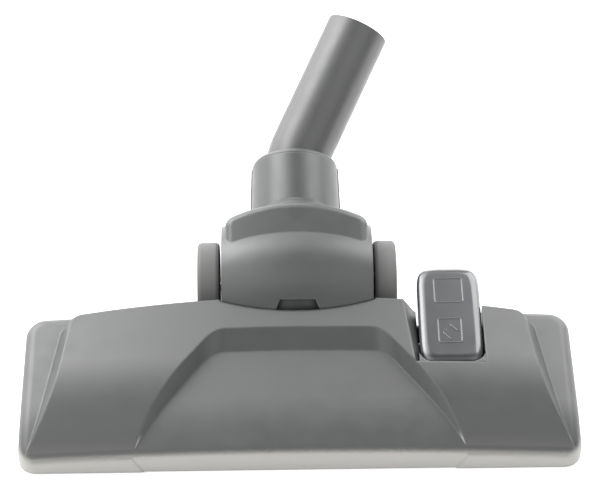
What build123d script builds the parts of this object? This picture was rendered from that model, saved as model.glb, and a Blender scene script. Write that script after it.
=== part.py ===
from build123d import *
import math
import os

os.makedirs("parts", exist_ok=True)

# Frame: +X right, +Y to the rear, +Z up, floor at Z = 0, origin in the middle of the sole. Millimetres.

# Head
HEAD_WIDTH = 296.0
HEAD_DEPTH = 88.4
WALL = 2.2
SKIRT_Z = 1.5
NOSE_RADIUS = 6.0
FRONT_CORNER = 9.0
REAR_CORNER = 11.0
SIDE_DRAW = 0.8
REAR_BOW = 0.4
CROWN_RADIUS = 2400.0
HALF = HEAD_WIDTH / 2
FRONT = -HEAD_DEPTH / 2
REAR = HEAD_DEPTH / 2

# Two levels of the cover's top: the low one shows in the panel and at the ends, the high one on the wings
LOW_KNEE_Y = -15.0
LOW_KNEE_Z = 24.7
LOW_SLOPE = 11.0
LOW_BROW_RADIUS = 105.0
HIGH_KNEE_Y = 5.0
HIGH_KNEE_Z = 37.2
HIGH_SLOPE = 9.0
HIGH_BROW_RADIUS = 92.4
WING_PROUD = 0.6
WING_CORNER = 5.0
WING_BOW = 13.0

# Panel legs: half width = PANEL_HALF - PANEL_SPLAY * y + PANEL_DRAFT * z
# Rear wall of the panel: y = PANEL_REAR + PANEL_REAR_DRAFT * z
PANEL_HALF = 41.3
PANEL_SPLAY = 0.89
PANEL_DRAFT = 0.612
PANEL_REAR = -11.3
PANEL_REAR_DRAFT = 0.87
PANEL_CORNER = 16.0

# Stepped ends: half length of the wings = END_HALF - END_SPLAY * y - END_DRAFT * z
END_SET = 2.3
END_HALF = HALF + END_SET
END_SPLAY = 0.04
END_DRAFT = 0.7

# Axle, wheels and knuckle barrel
WHEEL_RADIUS = 25.0
AXLE_SETBACK = 26.8
AXLE_Y = REAR + AXLE_SETBACK
AXLE_Z = WHEEL_RADIUS
PIN_RADIUS = 3.0
RUN_FIT = 0.06
BARREL_HALF = 41.2
BARREL_RADIUS = 39.5
BARREL_CROWN = 147.0
BARREL_GAP = 0.8
BARREL_LIP = 133.0
LIP_NOTCH = 7.4
LIP_NOTCH_HALF = 9.5
REAR_BARREL_RADIUS = 22.0
WHEEL_INNER_X = BARREL_HALF + 1.3
WHEEL_WIDTH = 12.0
TYRE_THICK = 4.6
WHEEL_BOSS = 9.5
WHEEL_RIBS = 6

# Neck, with its axis along +Z while it is drawn; it leans back by NECK_LEAN in the finished head
NECK_LEAN = 65.0
SHOULDER_HALF = 40.3
SHOULDER_DRAW = 1.4
SHOULDER_FRONT = 35.2
SHOULDER_REAR = 26.5
SHOULDER_TOP = 37.0
SHOULDER_ARCH = 87.0
SHOULDER_CORNER = 7.0
SHOULDER_RADIUS = 4.5
SHOULDER_CROWN = 245.0
REAR_STEP = 0.4
COLLAR_STEP = 0.6
COLLAR_FOOT_RADIUS = 25.0
COLLAR_RIM_RADIUS = 24.0
COLLAR_WALL = 3.2
COLLAR_TOP = 72.5
COLLAR_RIB = 2.0
NECK_SCREW_X = 29.5
NECK_SCREW_Z = 24.0

# Swivel tube
TUBE_RADIUS = 17.7
SOCKET_RADIUS = 16.1
SOCKET_LENGTH = 45.0
THROAT_RADIUS = 15.5
TUBE_FOOT = 42.0
BEND_START = 64.0
BEND_RADIUS = 46.0
BEND_ANGLE = 27.5
BEND_TURN = 22.4
TUBE_STRAIGHT = 76.0
FLANGE_Z = 47.4
FLANGE_THICK = 3.4
FLANGE_RADIUS = 20.6
FLANGE_PLAY = 0.4

# Pedal
PEDAL_SET = 82.4
PEDAL_LEFT = HALF - PEDAL_SET
PEDAL_WIDTH = 32.4
PEDAL_LENGTH = 56.2
PEDAL_OVERHANG = 16.4
PEDAL_REAR = REAR + PEDAL_OVERHANG
PEDAL_FRONT = PEDAL_REAR - PEDAL_LENGTH
PEDAL_RIGHT = PEDAL_LEFT + PEDAL_WIDTH
PEDAL_MID = PEDAL_LEFT + PEDAL_WIDTH / 2
PEDAL_SLOPE = 12.0
PEDAL_PIN_SET = 15.6
PEDAL_PIN_Y = PEDAL_FRONT + PEDAL_PIN_SET
PEDAL_PIN_Z = 28.0
PEDAL_PIN_RADIUS = 1.5
PEDAL_LEVER = 19.0
PEDAL_TOP_Z = 37.2
PEDAL_THICK = 4.2
PEDAL_CORNER = 6.0
PEDAL_EDGE = 2.8
PEDAL_POST = 3.0

# Sole and pan
SOLE_THICK = 2.2
PAN_THICK = 2.0
PAN_RIM = 3.0
PAN_TOP = SOLE_THICK + PAN_THICK
MOUTH_MARGIN = 33.0
MOUTH_SETBACK = 24.2
MOUTH_DEPTH = 14.0
MOUTH_BEVEL = 0.8
MOUTH_HALF = HALF - MOUTH_MARGIN
MOUTH_FRONT = FRONT + MOUTH_SETBACK
MOUTH_REAR = MOUTH_FRONT + MOUTH_DEPTH
AIR_GROOVE = 3.0
AIR_GROOVE_DEPTH = 0.7
AIR_GROOVE_PITCH = 13.0
LINT_HALF = 30.0
LINT_WIDTH = 4.0
SCREW_RADIUS = 1.5
SCREW_HEAD = 3.0

# Bay behind the pan where the knuckle and its cradle sit
BAY_HALF = BARREL_HALF + 2.0
BAY_FRONT = REAR - 9.0
CHEEK_HALF = BARREL_HALF - 2.5
CHEEK_THICK = 3.0
CHEEK_RADIUS = 19.3

# Brush, its guides and the air channel between its two rows
BRUSH_OVERHANG = 6.0
BRUSH_HALF = MOUTH_HALF + BRUSH_OVERHANG
BRUSH_FRONT_Y = MOUTH_FRONT - 9.5
BRUSH_REAR_Y = MOUTH_REAR + 12.5
TUFT = 4.6
TUFT_PITCH = 7.6
TUFT_TIP_Z = 0.8
BAR_WIDTH = 6.0
BAR_Z = 9.4
BAR_HEIGHT = 3.4
LEAF = 0.25
GUIDE_X = BRUSH_HALF + 2.0
GUIDE_Y = MOUTH_FRONT + 8.0
GUIDE_RADIUS = 2.4
EYE_RADIUS = 4.6
CHANNEL_WALL = 1.8
CHANNEL_TOP = 18.6
CHANNEL_HALF = GUIDE_X - EYE_RADIUS - 0.4
DUCT_HALF = BARREL_HALF - 5.2
DUCT_WALL = 1.6

# Places of the six sole screws and of the stiffening ribs below the cover's top
SCREW_SPOTS = [
    (-HALF + 12, FRONT + 10.2),
    (HALF - 12, FRONT + 10.2),
    (-HALF + 17, REAR - 18.2),
    (HALF - 17, REAR - 18.2),
    (-BARREL_HALF - 10.8, REAR - 22.2),
    (BARREL_HALF + 10.8, REAR - 22.2),
]
RIB_SPOTS = [-HALF + 36, -HALF + 76, HALF - 100, HALF - 36]
RIB_THICK = 1.4
RIB_DEPTH = 3.0


def box(x0, x1, y0, y1, z0, z1):
    """Box between two corners."""
    middle = Pos((x0 + x1) / 2, (y0 + y1) / 2, (z0 + z1) / 2)
    return middle * Box(x1 - x0, y1 - y0, z1 - z0)


def rod_x(y, z, radius, x0, x1):
    """Cylinder along X."""
    return Pos((x0 + x1) / 2, y, z) * Rot(0, 90, 0) * Cylinder(radius, x1 - x0)


def rod_z(x, y, radius, z0, z1):
    """Cylinder along Z."""
    return Pos(x, y, (z0 + z1) / 2) * Cylinder(radius, z1 - z0)


def prism_x(points, x0, x1):
    """Outline given as (y, z) points, carried along X."""
    face = Plane.YZ.offset(x0) * make_face(Polyline(*points, close=True))
    return extrude(face, amount=x1 - x0, dir=(1, 0, 0))


# Cover

def head_plan(inset):
    """Plan of the head: straight front, slightly drawn-in sides, bowed rear edge, round corners."""
    front = FRONT + inset
    rear = REAR - inset
    wide = HALF - inset
    slim = wide - SIDE_DRAW
    outline = make_face([
        Line((-wide, front), (wide, front)),
        Line((wide, front), (slim, rear - REAR_BOW)),
        ThreePointArc((slim, rear - REAR_BOW), (0, rear), (-slim, rear - REAR_BOW)),
        Line((-slim, rear - REAR_BOW), (-wide, front)),
    ])
    fore = outline.vertices().filter_by(lambda v: v.Y < 0)
    outline = fillet(fore, FRONT_CORNER - inset)
    aft = outline.vertices().filter_by(lambda v: v.Y > REAR - 10)
    return fillet(aft, REAR_CORNER - inset)


def wing_plan(inset):
    """Plan of the raised part, before its ends and the panel are cut."""
    front = FRONT - WING_PROUD + inset
    wide = HALF - WING_PROUD - inset
    side = REAR - WING_BOW - inset
    outline = make_face([
        Line((-wide, front), (wide, front)),
        Line((wide, front), (wide, side)),
        ThreePointArc((wide, side), (0, REAR - WING_PROUD - inset), (-wide, side)),
        Line((-wide, side), (-wide, front)),
    ])
    fore = outline.vertices().filter_by(lambda v: v.Y < 0)
    return fillet(fore, FRONT_CORNER - inset)


def top_level(knee_y, knee_z, slope, brow, inset):
    """Everything below one level of the top: straight behind the knee, an arc before it, crowned along X."""
    lean = math.radians(slope)
    y0 = knee_y + inset * math.sin(lean)
    z0 = knee_z - inset * math.cos(lean)
    radius = brow - inset
    rear_y = REAR + 20
    centre = (y0 + radius * math.sin(lean), z0 - radius * math.cos(lean))
    reach = math.asin(math.sin(lean) + (y0 - FRONT + 12) / radius)
    half = (lean + reach) / 2
    nose = (centre[0] - radius * math.sin(reach), centre[1] + radius * math.cos(reach))
    brow_mid = (centre[0] - radius * math.sin(half), centre[1] + radius * math.cos(half))
    tail = (rear_y, z0 + (rear_y - y0) * math.tan(lean))
    profile = make_face([
        Line((rear_y, -30), tail),
        Line(tail, (y0, z0)),
        ThreePointArc((y0, z0), brow_mid, nose),
        Line(nose, (nose[0], -30)),
        Line((nose[0], -30), (rear_y, -30)),
    ])
    axis = Axis((0, 0, HIGH_KNEE_Z - CROWN_RADIUS), (0, 1, 0))
    sweep = 2 * math.degrees(math.asin((HALF + 6) / (CROWN_RADIUS - 70)))
    start = (Plane.YZ * profile).rotate(axis, -sweep / 2)
    return revolve(start, axis, sweep)


def top_rim(solid, knee):
    """Edges round a moulded top: neither upright, nor on the skirt, nor the line at the knee."""
    rim = []
    for edge in solid.edges():
        size = edge.bounding_box().size
        low = edge.bounding_box().min.Z
        upright = size.X < 0.01 and size.Y < 0.01
        knee_line = size.X > 100 and abs(edge.center().Y - knee) < 1.5
        if low > SKIRT_Z + 2 and not upright and not knee_line:
            rim.append(edge)
    return rim


def low_form(inset, floor):
    """The whole head at the low level."""
    body = extrude(Pos(0, 0, floor) * head_plan(inset), amount=60)
    body = body & top_level(LOW_KNEE_Y, LOW_KNEE_Z, LOW_SLOPE, LOW_BROW_RADIUS, inset)
    return fillet(top_rim(body, LOW_KNEE_Y), NOSE_RADIUS - inset)


def panel_prism(inset):
    """The recess in the middle: splayed legs and a sloping rear wall, with round inner corners."""
    side_inset = inset * math.sqrt(1 + PANEL_SPLAY ** 2 + PANEL_DRAFT ** 2)
    rear_inset = inset * math.sqrt(1 + PANEL_REAR_DRAFT ** 2)

    def section(z):
        rear = PANEL_REAR + PANEL_REAR_DRAFT * z + rear_inset
        fore = FRONT - 20
        near = PANEL_HALF - PANEL_SPLAY * rear + PANEL_DRAFT * z + side_inset
        far = PANEL_HALF - PANEL_SPLAY * fore + PANEL_DRAFT * z + side_inset
        ring = Polyline((-far, fore), (far, fore), (near, rear), (-near, rear), close=True)
        return Pos(0, 0, z) * make_face(ring)

    prism = loft([section(-10), section(60)], ruled=True)
    corners = prism.edges().filter_by(lambda e: e.center().Y > -20)
    corners = corners.filter_by(lambda e: abs(e.bounding_box().size.Z - 70) < 0.1)
    return fillet(corners, PANEL_CORNER + inset)


def end_wedge(side, inset):
    """What is cut off one end of the wings."""
    end_inset = inset * math.sqrt(1 + END_SPLAY ** 2 + END_DRAFT ** 2)

    def line(y, z):
        return side * (END_HALF - end_inset - END_SPLAY * y - END_DRAFT * z)

    def section(z):
        far = side * (HALF + 112)
        ring = Polyline((line(-80, z), -80), (line(80, z), 80), (far, 80), (far, -80), close=True)
        return Pos(0, 0, z) * make_face(ring)

    return loft([section(-10), section(60)], ruled=True)


def wing_form(inset, floor):
    """The raised wings on both sides of the panel and the band behind it."""
    body = extrude(Pos(0, 0, floor) * wing_plan(inset), amount=60)
    body = body & top_level(HIGH_KNEE_Y, HIGH_KNEE_Z, HIGH_SLOPE, HIGH_BROW_RADIUS, inset)
    nose = body.edges().filter_by(lambda e: e.bounding_box().size.X > 100 and e.center().Y < FRONT + 5)
    nose = nose.filter_by(lambda e: e.center().Z > SKIRT_Z + 2)
    body = fillet(nose, NOSE_RADIUS - inset)
    body = body - end_wedge(-1, inset) - end_wedge(1, inset)
    tips = body.edges().filter_by(lambda e: abs(e.center().X) > 80 and e.center().Y > 20)
    tips = tips.filter_by(lambda e: e.bounding_box().size.Z > 20)
    body = fillet(tips, WING_CORNER)
    return body - panel_prism(inset)


def barrel(grow, half):
    """Crowned barrel round the X axis through the origin."""
    radius = BARREL_RADIUS + grow
    crown = BARREL_CROWN + grow
    edge = radius - crown + math.sqrt(crown ** 2 - half ** 2)
    profile = make_face([
        Line((-half, 0), (half, 0)),
        Line((half, 0), (half, edge)),
        ThreePointArc((half, edge), (0, radius), (-half, edge)),
        Line((-half, edge), (-half, 0)),
    ])
    return revolve(profile, Axis.X)


def at_axle(shape):
    """From the axle's own frame to the head."""
    return Pos(0, AXLE_Y, AXLE_Z) * shape


def pedal_pocket(grow):
    """Opening for the pedal, with a sloping wall on its left, open to the rear."""
    left = PEDAL_LEFT - 1.4 - grow
    right = PEDAL_RIGHT + 1.4 + grow
    front = PEDAL_FRONT - 3.4 - grow
    shaft = box(left, right, front, REAR + 20, 20, 70)
    ring = Polyline((left + 1, 30), (left + 1, 70), (left - 26.5, 70), (left, 32), close=True)
    face = Plane.XZ.offset(-front) * make_face(ring)
    slope = extrude(face, amount=REAR + 20 - front, dir=(0, 1, 0))
    return shaft + slope


def top_cover():
    """Cover with linings round the knuckle and the pedal, screw bosses and ribs."""
    outer = low_form(0, SKIRT_Z) + wing_form(0, SKIRT_Z)
    inner = low_form(WALL, -5) + wing_form(WALL, -5)
    opening_half = BARREL_HALF + 1
    knuckle = at_axle(barrel(BARREL_GAP, opening_half))
    lining = at_axle(barrel(BARREL_GAP + WALL, opening_half + WALL)) & outer
    lining = lining & box(-opening_half - 20, opening_half + 20, 0, REAR + 36, AXLE_Z + 4, 70)
    pocket = pedal_pocket(0)
    pocket_wall = pedal_pocket(WALL - 0.4) & outer
    pocket_wall = pocket_wall & box(PEDAL_LEFT - 26, PEDAL_RIGHT + 32, -20, REAR + 36, PEDAL_PIN_Z + 3.5, 70)
    cover = outer - inner
    cover = cover + lining + pocket_wall
    for x, y in SCREW_SPOTS:
        cover = cover + (rod_z(x, y, 3.6, PAN_TOP, 60) & outer)
    deep = WALL + RIB_DEPTH
    ribs = outer - low_form(deep, -5) - wing_form(deep, -5)
    for x in RIB_SPOTS:
        cover = cover + (ribs & box(x - RIB_THICK / 2, x + RIB_THICK / 2, MOUTH_REAR - 4, REAR - 14, 12, 60))
    cover = cover - knuckle - pocket
    cover = cover - box(-opening_half, opening_half, BAY_FRONT + 0.8, REAR + 36, 0, 12)
    for x, y in SCREW_SPOTS:
        cover = cover - rod_z(x, y, SCREW_RADIUS + 0.05, 0, 13.5)
    return cover


# Pan with the knuckle cradle, channel cover and sole

def lower_housing():
    """Pan inside the skirt: window for mouth and brush, rim, brush guides, pedal posts and the knuckle cradle."""
    plan = head_plan(WALL + 0.3)
    pan = extrude(Pos(0, 0, SOLE_THICK) * plan, amount=PAN_THICK)
    rim = extrude(Pos(0, 0, PAN_TOP) * plan, amount=PAN_RIM)
    rim = rim - extrude(Pos(0, 0, PAN_TOP) * head_plan(WALL + 1.8), amount=PAN_RIM)
    body = pan + rim
    slot = BAR_WIDTH / 2 + 0.3
    window = CHANNEL_HALF + 0.5
    body = body - box(-window, window, BRUSH_FRONT_Y - slot, BRUSH_REAR_Y + slot, 0, 20)
    for y in (BRUSH_FRONT_Y, BRUSH_REAR_Y):
        body = body - box(-GUIDE_X, GUIDE_X, y - slot, y + slot, 0, 8)
    body = body - box(-BAY_HALF, BAY_HALF, BAY_FRONT, REAR + 36, -5, 60)
    front = BAY_FRONT - 4.7
    floor = box(-CHEEK_HALF, CHEEK_HALF, front, AXLE_Y + 5, 1.0, 2.7)
    floor = floor + box(-CHEEK_HALF, CHEEK_HALF, front, BAY_FRONT, 1.0, PAN_TOP)
    body = body + floor + cradle()
    for side in (-1, 1):
        body = body + rod_z(side * GUIDE_X, GUIDE_Y, GUIDE_RADIUS, SOLE_THICK + 0.5, 17)
    for x in (PEDAL_LEFT - PEDAL_POST - 1.2, PEDAL_RIGHT + 0.9):
        body = body + box(x, x + PEDAL_POST, PEDAL_PIN_Y - 4.5, PEDAL_PIN_Y + 4.5, PAN_TOP - 1, PEDAL_PIN_Z + 3)
    body = body - rod_x(PEDAL_PIN_Y, PEDAL_PIN_Z, PEDAL_PIN_RADIUS + 0.03, PEDAL_LEFT - 10, PEDAL_RIGHT + 10)
    for x, y in SCREW_SPOTS:
        body = body - rod_z(x, y, SCREW_RADIUS + 0.3, 0, 10)
    return body


def cradle():
    """Two cheeks with the axle holes, and an apron between them that closes the knuckle from below."""
    ring = [(AXLE_Y - 21, 1.5), (AXLE_Y + 4.5, 1.5), (AXLE_Y + 8.5, AXLE_Z), (AXLE_Y - 8.5, AXLE_Z)]
    inner = CHEEK_HALF - CHEEK_THICK
    reach = inner + 0.3
    tube = rod_x(AXLE_Y, AXLE_Z, CHEEK_RADIUS, -reach, reach)
    tube = tube - rod_x(AXLE_Y, AXLE_Z, CHEEK_RADIUS - 1.7, -reach - 1, reach + 1)
    body = tube & box(-reach, reach, AXLE_Y - 5, AXLE_Y + 30, 0, AXLE_Z - 5)
    body = body + box(-reach, reach, AXLE_Y - 3, AXLE_Y - 1, 1.5, 7)
    for x0 in (-CHEEK_HALF, inner):
        cheek = prism_x(ring, x0, x0 + CHEEK_THICK)
        body = body + cheek + rod_x(AXLE_Y, AXLE_Z, CHEEK_RADIUS, x0, x0 + CHEEK_THICK)
    return body - rod_x(AXLE_Y, AXLE_Z, PIN_RADIUS + 0.02, -60, 60)


def channel_cover():
    """Inverted trough over the suction mouth with a duct that climbs over the rear brush bar to the knuckle."""
    lip = CHANNEL_WALL + 1
    front = MOUTH_FRONT - lip
    rear = MOUTH_REAR + lip
    inner = CHANNEL_HALF - CHANNEL_WALL
    trough = box(-CHANNEL_HALF, CHANNEL_HALF, front, rear, SOLE_THICK, CHANNEL_TOP)
    hollow = box(-inner, inner, MOUTH_FRONT - 1, MOUTH_REAR + 1, 0, CHANNEL_TOP - DUCT_WALL)
    over = BAR_Z + BAR_HEIGHT + 0.6
    ramp_top = BRUSH_REAR_Y + 5.5
    ramp_foot = REAR - 19.2
    back = REAR + 0.8
    outside = [
        (MOUTH_REAR - 2, over), (ramp_top, over), (ramp_foot, PAN_TOP), (back, PAN_TOP), (back, 26.4),
        (BRUSH_REAR_Y + 3.5, 26.4), (MOUTH_FRONT + 2, 20.6), (MOUTH_FRONT - 1, CHANNEL_TOP - 1),
        (MOUTH_REAR - 2, CHANNEL_TOP - 1),
    ]
    inside = [
        (MOUTH_REAR - 2, over + DUCT_WALL), (ramp_top + 0.8, over + DUCT_WALL),
        (ramp_foot + 0.8, PAN_TOP + DUCT_WALL), (back + 5, PAN_TOP + DUCT_WALL), (back + 5, 26.4 - DUCT_WALL),
        (BRUSH_REAR_Y + 3.7, 26.4 - DUCT_WALL), (MOUTH_FRONT + 2.6, 19.1), (MOUTH_FRONT + 1, 12),
        (MOUTH_REAR - 2, 12),
    ]
    body = trough + prism_x(outside, -DUCT_HALF, DUCT_HALF)
    body = body - hollow - prism_x(inside, -DUCT_HALF + DUCT_WALL, DUCT_HALF - DUCT_WALL)
    for x in (-CHANNEL_HALF, CHANNEL_HALF - 14):
        body = body + box(x, x + 14, rear, rear + 4.4, SOLE_THICK, SOLE_THICK + 1.8)
    return body - at_axle(barrel(BARREL_GAP + 0.6, 60))


def mouth_bevel():
    """Widening of the suction mouth towards the floor."""
    depth = MOUTH_REAR - MOUTH_FRONT
    low = Rectangle(2 * (MOUTH_HALF + MOUTH_BEVEL), depth + 2 * MOUTH_BEVEL)
    high = Rectangle(2 * MOUTH_HALF, depth)
    middle = Pos(0, (MOUTH_FRONT + MOUTH_REAR) / 2, 0)
    return middle * loft([low, Pos(0, 0, MOUTH_BEVEL) * high], ruled=True)


def sole_plate():
    """Gliding plate: mouth, brush slots, air grooves, lint strip pockets, screw holes and a bevelled edge."""
    plan = head_plan(WALL + 0.4)
    body = extrude(plan, amount=SOLE_THICK)
    rim = body.faces().sort_by(Axis.Z)[0].edges()
    body = chamfer(rim, 0.9)
    body = body - box(-MOUTH_HALF, MOUTH_HALF, MOUTH_FRONT, MOUTH_REAR, -1, 5) - mouth_bevel()
    for y in (BRUSH_FRONT_Y, BRUSH_REAR_Y):
        body = body - box(-BRUSH_HALF - 1.6, BRUSH_HALF + 1.6, y - BAR_WIDTH / 2, y + BAR_WIDTH / 2, -1, 5)
    body = body - box(-BAY_HALF, BAY_HALF, BAY_FRONT - 5, REAR + 36, -1, 5)
    for step in (-2, -1, 0, 1, 2):
        x = step * AIR_GROOVE_PITCH
        body = body - box(x - AIR_GROOVE / 2, x + AIR_GROOVE / 2, FRONT - 5, MOUTH_FRONT + 1, -1, AIR_GROOVE_DEPTH)
    body = body - lint_strip(BRUSH_FRONT_Y + 6.3, 0.1) - lint_strip(MOUTH_REAR + 4, 0.1)
    for x, y in SCREW_SPOTS:
        body = body - rod_z(x, y, SCREW_RADIUS + 0.3, -1, 5) - rod_z(x, y, SCREW_HEAD + 0.3, -1, 1.5)
    return body


def lint_strip(y, grow):
    """Two short-pile strips in the sole, left and right."""
    half = LINT_HALF + grow
    deep = LINT_WIDTH / 2 + grow
    strips = []
    for x in (-MOUTH_HALF + 45, MOUTH_HALF - 45):
        strips.append(box(x - half, x + half, y - deep, y + deep, 0.2 - 3 * grow, 1.2))
    return strips[0] + strips[1]


def sole_screws():
    """Screws driven upwards through sole and pan into the cover, one solid each."""
    group = []
    z0 = 0.1
    z1 = z0 + 1.4
    for x, y in SCREW_SPOTS:
        screw = rod_z(x, y, SCREW_HEAD, z0, z1) + rod_z(x, y, SCREW_RADIUS, z1, z1 + 11)
        slot = box(x - 2, x + 2, y - 0.4, y + 0.4, z0 - 1, z0 + 0.6)
        slot = slot + box(x - 0.4, x + 0.4, y - 2, y + 2, z0 - 1, z0 + 0.6)
        group.append(screw - slot)
    return Compound(children=group)


# Brush

def brush_carrier():
    """Sliding frame: two long bars, two end bars with guide eyes, and an arm to the pedal with a fork."""
    x_end = BRUSH_HALF + 5
    top = BAR_Z + BAR_HEIGHT
    half = BAR_WIDTH / 2
    body = box(-x_end, x_end, BRUSH_FRONT_Y - half, BRUSH_FRONT_Y + half, BAR_Z, top)
    body = body + box(-x_end, x_end, BRUSH_REAR_Y - half, BRUSH_REAR_Y + half, BAR_Z, top)
    for x in (-GUIDE_X, GUIDE_X):
        body = body + box(x - half, x + half, BRUSH_FRONT_Y, BRUSH_REAR_Y, BAR_Z, top)
        body = body + rod_z(x, GUIDE_Y, EYE_RADIUS, BAR_Z, top + 2)
        body = body - rod_z(x, GUIDE_Y, GUIDE_RADIUS + 0.3, BAR_Z - 1, top + 5)
    rod_y = PEDAL_PIN_Y + PEDAL_LEVER
    x0 = PEDAL_MID - 2.5
    x1 = PEDAL_MID + 2.5
    arm = box(x0, x1, BRUSH_REAR_Y, rod_y - 2.5, BAR_Z, top)
    arm = arm + box(x0, x1, rod_y - 7, rod_y - 2.5, BAR_Z, PEDAL_PIN_Z + 4)
    arm = arm + box(x0, x1, rod_y - 3, rod_y + 2, PEDAL_PIN_Z - 4, PEDAL_PIN_Z + 4)
    arm = arm - box(x0 - 1, x1 + 1, rod_y - 2.4, rod_y + 9, PEDAL_PIN_Z - 1.75, PEDAL_PIN_Z + 1.75)
    return body + arm


def bristles(y):
    """Row of tufts on a backing strip below one bar."""
    body = box(-BRUSH_HALF, BRUSH_HALF, y - TUFT / 2, y + TUFT / 2, BAR_Z - 1.6, BAR_Z)
    count = int(2 * BRUSH_HALF / TUFT_PITCH)
    start = -(count - 1) * TUFT_PITCH / 2
    tufts = []
    for i in range(count):
        x = start + i * TUFT_PITCH
        tufts.append(box(x - TUFT / 2, x + TUFT / 2, y - TUFT / 2, y + TUFT / 2, TUFT_TIP_Z, BAR_Z - 1.2))
    return body + tufts


def brush_spring(side):
    """Leaf that stands on the pan and pushes the end bar up."""
    x = side * GUIDE_X
    y = BRUSH_REAR_Y - 0.5
    points = [
        (y - 13, PAN_TOP), (y - 7, PAN_TOP), (y - 3.6, BAR_Z - LEAF), (y, BAR_Z - LEAF), (y, BAR_Z),
        (y - 3.8, BAR_Z), (y - 7.2, PAN_TOP + LEAF), (y - 13, PAN_TOP + LEAF),
    ]
    return prism_x(points, x - 2, x + 2)


# Pedal

def pedal_cap():
    """Sloping cap of the rocker with a round rear end and round upper edges."""
    slim = 0.6
    side_y = PEDAL_REAR - 8
    outline = make_face([
        Line((PEDAL_LEFT, PEDAL_FRONT), (PEDAL_RIGHT, PEDAL_FRONT)),
        Line((PEDAL_RIGHT, PEDAL_FRONT), (PEDAL_RIGHT - slim, side_y)),
        ThreePointArc((PEDAL_RIGHT - slim, side_y), (PEDAL_MID, PEDAL_REAR), (PEDAL_LEFT + slim, side_y)),
        Line((PEDAL_LEFT + slim, side_y), (PEDAL_LEFT, PEDAL_FRONT)),
    ])
    outline = fillet(outline.vertices(), PEDAL_CORNER)
    rise = math.tan(math.radians(PEDAL_SLOPE))
    y0 = PEDAL_FRONT - 10
    y1 = PEDAL_REAR + 10
    z0 = PEDAL_TOP_Z + (y0 - PEDAL_PIN_Y) * rise
    z1 = PEDAL_TOP_Z + (y1 - PEDAL_PIN_Y) * rise
    points = [(y0, z0 - PEDAL_THICK), (y1, z1 - PEDAL_THICK), (y1, z1), (y0, z0)]
    cap = extrude(outline, amount=70) & prism_x(points, PEDAL_LEFT - 5, PEDAL_RIGHT + 5)
    upper = [face for face in cap.faces() if face.normal_at().Z > 0.9]
    return fillet(upper[0].edges(), PEDAL_EDGE)


def pedal():
    """Rocker: the cap, two side webs on the pin and a cross rod for the fork."""
    rise = math.tan(math.radians(PEDAL_SLOPE))
    y0 = PEDAL_FRONT + 5
    rod_y = PEDAL_PIN_Y + PEDAL_LEVER
    y1 = rod_y + 2
    web_z = PEDAL_TOP_Z - PEDAL_THICK + 1.5
    web = [
        (y0, PEDAL_PIN_Z + 2), (PEDAL_PIN_Y - 4, PEDAL_PIN_Z - 4), (y1, PEDAL_PIN_Z - 4),
        (y1, web_z + (y1 - PEDAL_PIN_Y) * rise), (y0, web_z + (y0 - PEDAL_PIN_Y) * rise),
    ]
    body = pedal_cap()
    body = body + prism_x(web, PEDAL_LEFT + 1.6, PEDAL_LEFT + 3.6)
    body = body + prism_x(web, PEDAL_RIGHT - 3.6, PEDAL_RIGHT - 1.6)
    body = body + rod_x(rod_y, PEDAL_PIN_Z, 1.6, PEDAL_LEFT + 2, PEDAL_RIGHT - 2)
    return body - rod_x(PEDAL_PIN_Y, PEDAL_PIN_Z, PEDAL_PIN_RADIUS + RUN_FIT, PEDAL_LEFT, PEDAL_RIGHT)


def pedal_pin():
    """Steel pin through posts and webs."""
    x0 = PEDAL_LEFT - PEDAL_POST - 1.2
    return rod_x(PEDAL_PIN_Y, PEDAL_PIN_Z, PEDAL_PIN_RADIUS, x0, PEDAL_RIGHT + PEDAL_POST + 0.9)


def pedal_spring():
    """Bent wire from the pan to the left web that snaps the pedal to either end."""
    wire = 0.6
    x = PEDAL_LEFT + 6.2
    foot = (x, PEDAL_PIN_Y - 8, PAN_TOP + 0.7)
    knee = (x, PEDAL_PIN_Y + 10, PAN_TOP + 6)
    tip = (x, PEDAL_PIN_Y + 13, PEDAL_PIN_Z - 2)
    start = Plane(foot, z_dir=Vector(*knee) - Vector(*foot))
    run = sweep(start * Circle(wire), Polyline(foot, knee, tip), transition=Transition.RIGHT)
    return run + rod_x(tip[1], tip[2], wire, PEDAL_LEFT + 3.7, x)


# Knuckle and neck, drawn upright with the axle at the origin

def collar(step):
    """Turned collar: tapered outside, two ribs inside that hold the tube's flange, a lip at the rim."""
    bore = COLLAR_RIM_RADIUS - COLLAR_WALL
    rib = TUBE_RADIUS + 0.4
    lip = TUBE_RADIUS + 1.5
    foot = SHOULDER_TOP - 6
    wide = COLLAR_FOOT_RADIUS + step
    rim = COLLAR_RIM_RADIUS + step
    high = FLANGE_Z + FLANGE_THICK + FLANGE_PLAY
    low = FLANGE_Z - FLANGE_PLAY
    points = [
        (bore, foot), (wide, foot), (wide, SHOULDER_TOP), (rim, COLLAR_TOP - 1), (rim - 1, COLLAR_TOP),
        (lip, COLLAR_TOP), (lip, COLLAR_TOP - 2.2), (bore, COLLAR_TOP - 3.4),
        (bore, high + COLLAR_RIB), (rib, high + COLLAR_RIB), (rib, high), (bore, high),
        (bore, low), (rib, low), (rib, low - COLLAR_RIB), (bore, low - COLLAR_RIB),
    ]
    face = Plane.XZ * make_face(Polyline(*points, close=True))
    return revolve(face, Axis.Z)


def loaf(half, inset, y):
    """Front view of the shoulder at one depth: arched top and round upper corners."""
    top = SHOULDER_TOP - inset
    side = top - half ** 2 / (2 * SHOULDER_ARCH)
    ring = make_face([
        Line((-half, 0), (half, 0)),
        Line((half, 0), (half, side)),
        ThreePointArc((half, side), (0, top), (-half, side)),
        Line((-half, side), (-half, 0)),
    ])
    ring = fillet(ring.vertices().group_by(Axis.Y)[-1], SHOULDER_CORNER - inset)
    return Plane.XZ.offset(-y) * ring


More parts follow.
